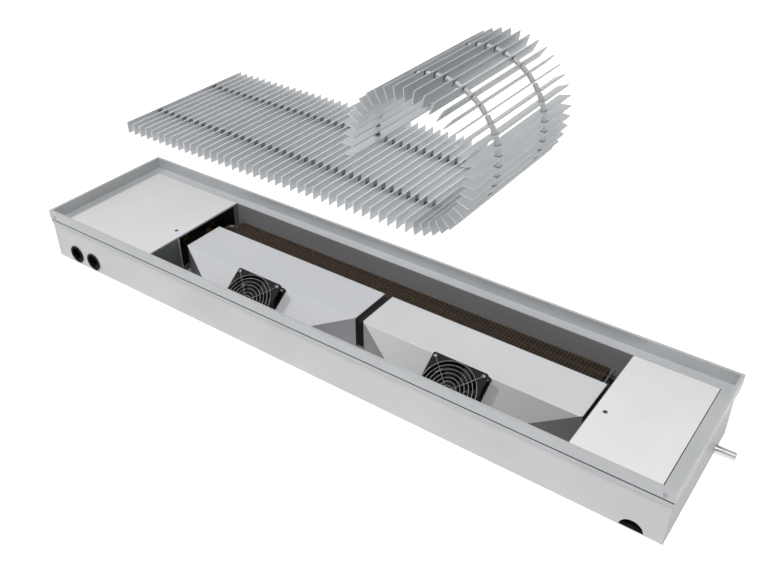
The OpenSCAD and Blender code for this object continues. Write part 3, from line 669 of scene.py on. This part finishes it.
def add_fins():
    low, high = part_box("exchanger_fins")
    shape = Shape()
    count = int((high[0] - low[0]) / FIN_PITCH)
    first = (low[0] + high[0] - (count - 1) * FIN_PITCH) / 2
    half = FIN_THICKNESS / 2
    for i in range(count):
        rings = []
        for j in range(2 * FIN_RIPPLES + 1):
            y = low[1] + (high[1] - low[1]) * j / (2 * FIN_RIPPLES)
            x = first + i * FIN_PITCH + FIN_RIPPLE / 2 * (-1) ** j
            x = min(max(x, low[0] + half), high[0] - half)
            rings.append([
                Vector((x - half, y, low[2])), Vector((x + half, y, low[2])),
                Vector((x + half, y, high[2])), Vector((x - half, y, high[2])),
            ])
        shape.strip(rings)
    shape.build(
        "exchanger_fin_pack", "casing", "fin", "fin_sheet",
        sharp_deg=20, replaced=("exchanger_fins",),
    )


# Sheet details

PARTITION_FACE = -452 * MM
CUTOUT_FRONT = -52 * MM
CUTOUT_LOW = 15 * MM
CUTOUT_HIGH = 92.5 * MM
HEM_PROUD = 0.6 * MM
HEM_WIDTH = 2.6 * MM
FOLD_PROUD = 0.6 * MM
FOLD_WIDTH = 9 * MM
SHEET_CHAMFER = 0.1 * MM
LEDGE_TOP = 96 * MM
# A dark strip along the right cover stands in for the shade in the gap there.
GAP_STRIP_LAP = 0.4 * MM
GAP_STRIP_WIDTH = 1.1 * MM
GAP_STRIP_PROUD = 0.2 * MM


def add_slab(shape, low, high, chamfer):
    """A thin upright or flat plate with its upper and lower edges broken."""
    (x0, y0, z0), (x1, y1, z1) = low, high
    rings = []
    for z, inset in ((z0, chamfer), (z0 + chamfer, 0), (z1 - chamfer, 0), (z1, chamfer)):
        rings.append([
            Vector((x0 + inset, y0 + inset, z)), Vector((x1 - inset, y0 + inset, z)),
            Vector((x1 - inset, y1 - inset, z)), Vector((x0 + inset, y1 - inset, z)),
        ])
    shape.strip(rings)


def add_partition_hem():
    """The bright cut edge of the left partition."""
    shape = Shape()
    low = (PARTITION_FACE - HEM_PROUD, CUTOUT_FRONT - HEM_WIDTH, CUTOUT_LOW)
    high = (PARTITION_FACE + HEM_PROUD, CUTOUT_FRONT, CUTOUT_HIGH)
    add_slab(shape, low, high, SHEET_CHAMFER)
    shape.build("partition_cut_edge", "casing", "cut_edge", "zinced_steel")


def add_wall_folds():
    """The folded ends of the front wall."""
    low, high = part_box("tray_front_wall")
    shape = Shape()
    for x in (low[0], high[0] - FOLD_WIDTH):
        near = (x, low[1] - FOLD_PROUD, low[2])
        far = (x + FOLD_WIDTH, low[1] + FOLD_PROUD, high[2])
        add_slab(shape, near, far, SHEET_CHAMFER)
    shape.build("front_wall_folds", "casing", "fold", "coated_sheet")


def add_gap_shade_strip():
    """A dark rubber strip between the right cover and the rail, standing in for the shade in the
    gap there.
    """
    low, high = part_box("right_cover")
    top = max(high[2], LEDGE_TOP)
    shape = Shape()
    near = (high[0] - GAP_STRIP_LAP, low[1] + GAP_STRIP_WIDTH, high[2] - GAP_STRIP_LAP)
    far = (high[0] + GAP_STRIP_WIDTH, high[1] - GAP_STRIP_WIDTH, top + GAP_STRIP_PROUD)
    add_slab(shape, near, far, GAP_STRIP_PROUD / 2)
    shape.build("right_cover_gap_shade", "casing", "rubber", "black_rubber")


# Fans, with heights along the shaft from the slope

FAN_DEPTH = 25 * MM
SCREW_PITCH = 104.8 * MM
WIRE_SIDES = 8
GUARD_WIRE = 0.8 * MM
GUARD_INNER = 10 * MM
GUARD_OUTER = 58 * MM
GUARD_RINGS = 7
RING_LIFT = 1.2 * MM
RING_STEPS = 72
EYELET_RADIUS = 3.4 * MM
EYELET_STEPS = 24


def fan_seat(joint):
    """The fan's own frame: x along the trench, z along the shaft."""
    axis = Vector(joint["axis"]).normalized()
    along = Vector((1, 0, 0))
    across = axis.cross(along)
    turn = Matrix((along, across, axis)).transposed().to_4x4()
    return Matrix.Translation(joint["pos_m"]) @ turn


def add_guard(name, seat):
    shape = Shape()
    spoke_z = FAN_DEPTH + GUARD_WIRE
    for i in range(GUARD_RINGS):
        radius = GUARD_INNER + (GUARD_OUTER - GUARD_INNER) * i / (GUARD_RINGS - 1)
        ring = ring_points(seat, radius, spoke_z + RING_LIFT, RING_STEPS)
        shape.tube(ring, GUARD_WIRE, WIRE_SIDES, True)
    corner = SCREW_PITCH / math.sqrt(2)
    places = (GUARD_INNER - GUARD_WIRE, corner / 2, corner - EYELET_RADIUS)
    for quarter in range(4):
        arm = seat @ Matrix.Rotation(math.pi / 4 + math.pi / 2 * quarter, 4, "Z")
        shape.tube([arm @ Vector((x, 0, spoke_z)) for x in places], GUARD_WIRE, WIRE_SIDES)
        eyelet = arm @ Matrix.Translation((corner, 0, 0))
        ring = ring_points(eyelet, EYELET_RADIUS, spoke_z, EYELET_STEPS)
        shape.tube(ring, GUARD_WIRE, WIRE_SIDES, True)
    shape.build(f"{name}_wire", "casing", "guard", "guard_wire", sharp_deg=60, replaced=(name,))


# Impeller: the hub's profile as (radius, height), and the vanes from root to tip

HUB_RADIUS = 21 * MM
HUB_LOW = 6 * MM
HUB_HIGH = 22 * MM
HUB_SIDES = 48
HUB_PROFILE = (
    (2 * MM, 0),
    (2 * MM, HUB_LOW),
    (HUB_RADIUS, HUB_LOW),
    (HUB_RADIUS, HUB_HIGH - 2 * MM),
    (HUB_RADIUS - 0.6 * MM, HUB_HIGH - 0.6 * MM),
    (HUB_RADIUS - 2 * MM, HUB_HIGH),
    (HUB_RADIUS - 4 * MM, HUB_HIGH),
    (HUB_RADIUS - 4.4 * MM, HUB_HIGH - 1 * MM),
    (1 * MM, HUB_HIGH - 1 * MM),
)
VANES = 7
VANE_ROOT = HUB_RADIUS - 1 * MM
VANE_TIP = 55.4 * MM
VANE_SWEEP = math.radians(14)
VANE_SPAN = math.radians(40)
VANE_NARROWING = math.radians(6)
VANE_FOOT = HUB_LOW + 2 * MM
VANE_RISE = 12 * MM
VANE_CAMBER = 0.12
VANE_HALF_THICK = 0.9 * MM
VANE_THINNING = 0.5
VANE_EDGE = 0.35
VANE_EDGE_PLACE = 0.05
VANE_STEPS = 7
CHORD_STEPS = 8


def vane_ring(seat, start, u):
    """The vane's section at a share of the way from root to tip."""
    radius = VANE_ROOT + (VANE_TIP - VANE_ROOT) * u
    upper, lower = [], []
    for j in range(CHORD_STEPS + 1):
        v = j / CHORD_STEPS
        angle = start + VANE_SWEEP * u * u + (VANE_SPAN - VANE_NARROWING * u) * (v - 0.5)
        height = VANE_FOOT + VANE_RISE * (v + VANE_CAMBER * math.sin(math.pi * v))
        bulge = math.sin(math.pi * min(max(v, VANE_EDGE_PLACE), 1 - VANE_EDGE_PLACE))
        thick = VANE_HALF_THICK * (1 - VANE_THINNING * u) * (VANE_EDGE + bulge)
        spot = Vector((radius * math.cos(angle), radius * math.sin(angle), height))
        upper.append(seat @ (spot + Vector((0, 0, thick))))
        lower.append(seat @ (spot - Vector((0, 0, thick))))
    return upper + lower[::-1]


def add_impeller(name, body, seat):
    shape = Shape()
    shape.lathe(HUB_PROFILE, seat, HUB_SIDES)
    for start in ring_angles(VANES):
        shape.strip([vane_ring(seat, start, i / VANE_STEPS) for i in range(VANE_STEPS + 1)])
    shape.build(f"{name}_rotor", body, "fan", "black_plastic", sharp_deg=40, replaced=(name,))


# Screws, with the head's profile and its cross as shares of the radius and the height

HEAD_RADIUS = 3.8 * MM
HEAD_HEIGHT = 2 * MM
HEAD_PROFILE = ((1, 0), (1, 0.5), (0.86, 0.86), (0.6, 1))
HEAD_FLAT = 0.6
HEAD_SIDES = 24
CROSS_ARM = 0.42
CROSS_HALF = 0.11
CROSS_FLOOR = 0.8
CROSS_DEPTH = 1 * MM
LOWER_HEAD = 4 * MM
SHANK_RADIUS = 2 * MM
SHANK_LOW = 21 * MM
SHANK_SIDES = 16


def cross_corners():
    """The twelve corners of a cross recess."""
    arm, half = CROSS_ARM * HEAD_RADIUS, CROSS_HALF * HEAD_RADIUS
    return [
        Matrix.Rotation(math.pi / 2 * quarter, 4, "Z") @ Vector((x, y, HEAD_HEIGHT))
        for quarter in range(4)
        for x, y in ((arm, -half), (arm, half), (half, half))
    ]


def add_screw_head(shape, seat):
    """A pan head with a cross recess, standing on z = 0."""
    profile = [(r * HEAD_RADIUS, z * HEAD_HEIGHT) for r, z in HEAD_PROFILE]
    shape.lathe(profile, seat, HEAD_SIDES, caps=False)
    cross = cross_corners()
    flat, floor = HEAD_FLAT * HEAD_RADIUS, HEAD_HEIGHT - CROSS_DEPTH
    outer = [
        seat @ Vector((flat * math.cos(a), flat * math.sin(a), HEAD_HEIGHT))
        for a in (math.atan2(point.y, point.x) for point in cross)
    ]
    inner = [seat @ point for point in cross]
    deep = [seat @ Vector((CROSS_FLOOR * point.x, CROSS_FLOOR * point.y, floor)) for point in cross]
    first = len(shape.points)
    shape.points.extend(outer + inner + deep)
    count = len(cross)
    for j in range(count):
        k = (j + 1) % count
        for low in (first, first + count):
            high = low + count
            shape.faces.append((low + j, low + k, high + k, high + j))
    shape.faces.append(tuple(first + 2 * count + j for j in range(count)))


def add_fan_screws(seats):
    shape = Shape()
    upper_head = FAN_DEPTH + 2 * GUARD_WIRE
    half = SCREW_PITCH / 2
    for seat in seats:
        for x in (-half, half):
            for y in (-half, half):
                corner = seat @ Matrix.Translation((x, y, 0))
                for z in (upper_head, LOWER_HEAD):
                    add_screw_head(shape, corner @ Matrix.Translation((0, 0, z)))
                shank = [(SHANK_RADIUS, SHANK_LOW), (SHANK_RADIUS, upper_head)]
                shape.lathe(shank, corner, SHANK_SIDES)
    shape.build(
        "fan_screw_heads", "casing", "bright_screw", "zinced_steel",
        sharp_deg=40, replaced=("fan_screws",),
    )


COVER_HEAD_HEIGHT = 1.2 * MM
COVER_HEAD_EDGE = 0.3 * MM
COVER_SHANK_RADIUS = 2.5 * MM
COVER_SHANK_DEPTH = 2 * MM
SOCKET_TOP_RADIUS = 2.2 * MM
SOCKET_LOW_RADIUS = 2 * MM
SOCKET_FLOOR = 0.2 * MM
COVER_HEAD_SIDES = 36


def add_cover_screws():
    low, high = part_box("cover_screws")
    shape = Shape()
    radius = (high[1] - low[1]) / 2
    profile = [
        (COVER_SHANK_RADIUS, -COVER_SHANK_DEPTH),
        (COVER_SHANK_RADIUS, 0),
        (radius, 0),
        (radius, COVER_HEAD_HEIGHT - COVER_HEAD_EDGE),
        (radius - COVER_HEAD_EDGE, COVER_HEAD_HEIGHT),
        (SOCKET_TOP_RADIUS, COVER_HEAD_HEIGHT),
        (SOCKET_LOW_RADIUS, SOCKET_FLOOR),
    ]
    y = (low[1] + high[1]) / 2
    for x in (low[0] + radius, high[0] - radius):
        seat = Matrix.Translation((x, y, high[2] - COVER_HEAD_HEIGHT))
        shape.lathe(profile, seat, COVER_HEAD_SIDES)
    shape.build("cover_screw_heads", "casing", "screw", "dark_screw", replaced=("cover_screws",))


# Grille

# Links whose sleeves take the near-black sleeve colour, painted shade, as the flat sleeves do.
SHADED_LINKS = (1, 2, 12, 13, 14, 15, 16)
SLEEVE_SIDES = 24
COIL_SIDES = 5
TURN_STEPS = 10
BLADE_SHARP_DEG = 25
SPRING_SHARP_DEG = 60


def blade_outline(inset):
    half = BLADE_THICKNESS / 2 - inset
    low = inset - AXIS_RISE
    high = BLADE_HEIGHT - AXIS_RISE - inset
    c = BLADE_CHAMFER
    return [
        (-half + c, low), (half - c, low), (half, low + c), (half, high - c),
        (half - c, high), (-half + c, high), (-half, high - c), (-half, low + c),
    ]


def add_blade(shape, seat):
    end = BLADE_LENGTH / 2
    c = BLADE_CHAMFER
    rings = []
    for y, inset in ((-end, c), (-end + c, 0), (end - c, 0), (end, c)):
        rings.append([seat @ Vector((x, y, z)) for x, z in blade_outline(inset)])
    shape.strip(rings)


def spring_seats(seat):
    """Both spring axes at a blade, with z along the chain."""
    quarter = Matrix.Rotation(math.pi / 2, 4, "Y")
    return [seat @ Matrix.Translation((0, y, 0)) @ quarter for y in SPRING_PLACES]


def add_sleeves(shape, seat):
    low = BLADE_THICKNESS / 2
    high = low + SLEEVE_LENGTH
    bore = SPRING_RADIUS + SLEEVE_SLIP
    c = SLEEVE_EDGE
    profile = [
        (bore, low), (SLEEVE_RADIUS - c, low), (SLEEVE_RADIUS, low + c), (SLEEVE_RADIUS, high - c),
        (SLEEVE_RADIUS - c, high), (bore + c, high), (bore, high - c),
    ]
    for axis in spring_seats(seat):
        shape.lathe(profile, axis, SLEEVE_SIDES, loop=True)


def add_coils(shape, seat, start, end):
    """Turns of the spring along both axes of a blade, between two places on the chain."""
    mean = SPRING_RADIUS - SPRING_WIRE
    turns = max(1, round((end - start) / COIL_PITCH))
    steps = TURN_STEPS * turns
    for axis in spring_seats(seat):
        path = []
        for i in range(steps + 1):
            angle = 2 * math.pi * turns * i / steps
            along = start + (end - start) * i / steps
            path.append(axis @ Vector((mean * math.cos(angle), mean * math.sin(angle), along)))
        shape.tube(path, SPRING_WIRE, COIL_SIDES)


def flat_seats():
    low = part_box("grille_blades")[0]
    first = low[0] + BLADE_THICKNESS / 2
    z = low[2] + AXIS_RISE
    return [Matrix.Translation((first + i * BLADE_PITCH, 0, z)) for i in range(FLAT_BLADES)]


def roll_seat(count, last_flat):
    centre = last_flat @ Matrix.Translation((0, 0, ROLL_RADIUS))
    turn = Matrix.Rotation(-count * BLADE_BEND, 4, "Y")
    return centre @ turn @ Matrix.Translation((0, 0, -ROLL_RADIUS))


def build_blades(shape, name, body, material, node):
    shape.build(name, body, material, "grille_aluminium", BLADE_SHARP_DEG, (node,), casts=False)


def build_sleeves(shape, name, body, material, replaced=()):
    shape.build(name, body, material, "grille_aluminium", replaced=replaced, casts=False)


def build_springs(shape, name, body, replaced=()):
    shape.build(name, body, "spring", "spring_steel", SPRING_SHARP_DEG, replaced, casts=False)


def add_flat_part(seats):
    body = "grille_flat_body"
    blades, sleeves, springs = Shape(), Shape(), Shape()
    gap_start = BLADE_THICKNESS / 2 + SLEEVE_LENGTH - COIL_LAP
    gap_end = BLADE_PITCH - BLADE_THICKNESS / 2
    for seat in seats:
        add_blade(blades, seat)
        add_sleeves(sleeves, seat)
    for seat in seats[:-1]:
        add_coils(springs, seat, gap_start, gap_end)
    add_coils(springs, seats[0], -BLADE_THICKNESS / 2 - COIL_END, -BLADE_THICKNESS / 2)
    build_blades(blades, "flat_blades", body, "blade", "grille_blades")
    build_sleeves(sleeves, "flat_sleeves", body, "painted_shade_sleeve", ("grille_sleeves",))
    build_springs(springs, "flat_springs", body, ("grille_springs",))


def add_roll_link(link, last_flat):
    blades, sleeves, springs = Shape(), Shape(), Shape()
    for count in (2 * link - 1, 2 * link):
        seat = roll_seat(count, last_flat)
        add_blade(blades, seat)
        if count < ROLLED_BLADES:
            add_sleeves(sleeves, seat)
        reach = COIL_TAIL if count % 2 else SLEEVE_GAP
        add_coils(springs, seat, -BLADE_THICKNESS / 2 - reach, -BLADE_THICKNESS / 2)
    name = f"link_{link:02d}"
    body = f"{name}_body"
    shade = "painted_shade_sleeve" if link in SHADED_LINKS else "sleeve"
    build_blades(blades, f"{name}_blades", body, "rolled_blade_shaded", f"roll_{name}")
    build_sleeves(sleeves, f"{name}_sleeves", body, shade)
    build_springs(springs, f"{name}_spring", body)


def add_grille():
    seats = flat_seats()
    add_flat_part(seats)
    for link in range(1, ROLLED_BLADES // 2 + 1):
        add_roll_link(link, seats[-1])


# Floor and light

FLOOR_SIZE = 14.0
FLOOR_DROP = 0.2 * MM
FLOOR_DARK = (0.80, 0.80, 0.80)
FLOOR_LIGHT = (0.82, 0.82, 0.82)
FLOOR_GRAIN = 40.0
FLOOR_DETAIL = 2.0
FLOOR_ROUGHNESS = 0.9
FLOOR_SHINE = 0.1
FLOOR_LIFT = 0.62
WHITE = (1, 1, 1, 1)


def floor_material():
    """A pale floor that reaches white for the camera and keeps the shadow."""
    material, tree, shader = new_material("floor")
    grain = add_noise(tree, place_coordinates(tree), FLOOR_GRAIN, FLOOR_DETAIL)
    tree.links.new(ramp_colours(tree, grain, FLOOR_DARK, FLOOR_LIGHT), shader.inputs["Base Color"])
    shader.inputs["Roughness"].default_value = FLOOR_ROUGHNESS
    shader.inputs["Specular IOR Level"].default_value = FLOOR_SHINE
    path = tree.nodes.new("ShaderNodeLightPath")
    seen = path.outputs["Is Camera Ray"]
    for ray in ("Is Glossy Ray", "Is Transmission Ray"):
        seen = do_math(tree, "MAXIMUM", seen, path.outputs[ray])
    lift = do_math(tree, "MULTIPLY", seen, FLOOR_LIFT)
    shader.inputs["Emission Color"].default_value = WHITE
    tree.links.new(lift, shader.inputs["Emission Strength"])
    return material


def add_floor():
    half = FLOOR_SIZE / 2
    z = min(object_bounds()[0][2], 0) - FLOOR_DROP
    corners = [(-half, -half, z), (half, -half, z), (half, half, z), (-half, half, z)]
    mesh = bpy.data.meshes.new("floor")
    mesh.from_pydata(corners, [], [(0, 1, 2, 3)])
    mesh.materials.append(floor_material())
    floor = bpy.data.objects.new("floor", mesh)
    bpy.context.scene.collection.objects.link(floor)


WORLD_COLOUR = (0.96, 0.98, 1.0, 1)
WORLD_DIFFUSE = 0.27
WORLD_GLOSSY = 0.75
WORLD_SEEN = 1.0


def add_world():
    """Soft light from all round, brighter in reflections and white for the camera."""
    world = bpy.data.worlds.new("studio")
    bpy.context.scene.world = world
    world.use_nodes = True
    tree = world.node_tree
    path = tree.nodes.new("ShaderNodeLightPath")
    light = tree.nodes["Background"]
    light.inputs["Color"].default_value = WORLD_COLOUR
    light.inputs["Strength"].default_value = WORLD_DIFFUSE
    for ray, strength in (("Is Glossy Ray", WORLD_GLOSSY), ("Is Camera Ray", WORLD_SEEN)):
        other = tree.nodes.new("ShaderNodeBackground")
        other.inputs["Color"].default_value = WHITE
        other.inputs["Strength"].default_value = strength
        mix = tree.nodes.new("ShaderNodeMixShader")
        tree.links.new(path.outputs[ray], mix.inputs["Fac"])
        tree.links.new(light.outputs[0], mix.inputs[1])
        tree.links.new(other.outputs["Background"], mix.inputs[2])
        light = mix
    tree.links.new(light.outputs[0], tree.nodes["World Output"].inputs["Surface"])


# Suns as name, direction they shine from, strength and angular size

SUNS = (
    ("key_sun", (0.12, -0.43, 0.90), 1.5, math.radians(8)),
    ("side_sun", (-0.62, -0.12, 0.78), 0.85, math.radians(3)),
)
FILL_PLACE = (2.6, 0.2, 2.6)
FILL_SIZE = 2.0
FILL_POWER = 6.0
FILL_AIM = (0.4, 0.0, 0.1)


def aim_lamp(data, place, target):
    lamp = bpy.data.objects.new(data.name, data)
    bpy.context.scene.collection.objects.link(lamp)
    away = Vector(place) - Vector(target)
    turn = away.to_track_quat("Z", "Y").to_matrix().to_4x4()
    lamp.matrix_world = Matrix.Translation(place) @ turn


def add_lamps():
    for name, toward, strength, spread in SUNS:
        sun = bpy.data.lights.new(name, "SUN")
        sun.energy = strength
        sun.angle = spread
        aim_lamp(sun, toward, (0, 0, 0))
    fill = bpy.data.lights.new("fill", "AREA")
    fill.shape = "DISK"
    fill.size = FILL_SIZE
    fill.energy = FILL_POWER
    aim_lamp(fill, FILL_PLACE, FILL_AIM)


def add_fans():
    seats = [fan_seat(JOINTS["left_fan_spin"]), fan_seat(JOINTS["right_fan_spin"])]
    for side, seat in zip(("left", "right"), seats):
        add_guard(f"{side}_fan_guard", seat)
        add_impeller(f"{side}_impeller", f"{side}_impeller_body", seat)
    add_fan_screws(seats)


def main():
    add_camera()
    finish_materials()
    for name, (material, radius) in DRESS.items():
        dress_node(name, material, radius)
    add_partition_hem()
    add_wall_folds()
    add_gap_shade_strip()
    add_fins()
    add_fans()
    add_cover_screws()
    add_grille()
    add_floor()
    add_world()
    add_lamps()
    bpy.context.scene.view_settings.view_transform = "Standard"


main()
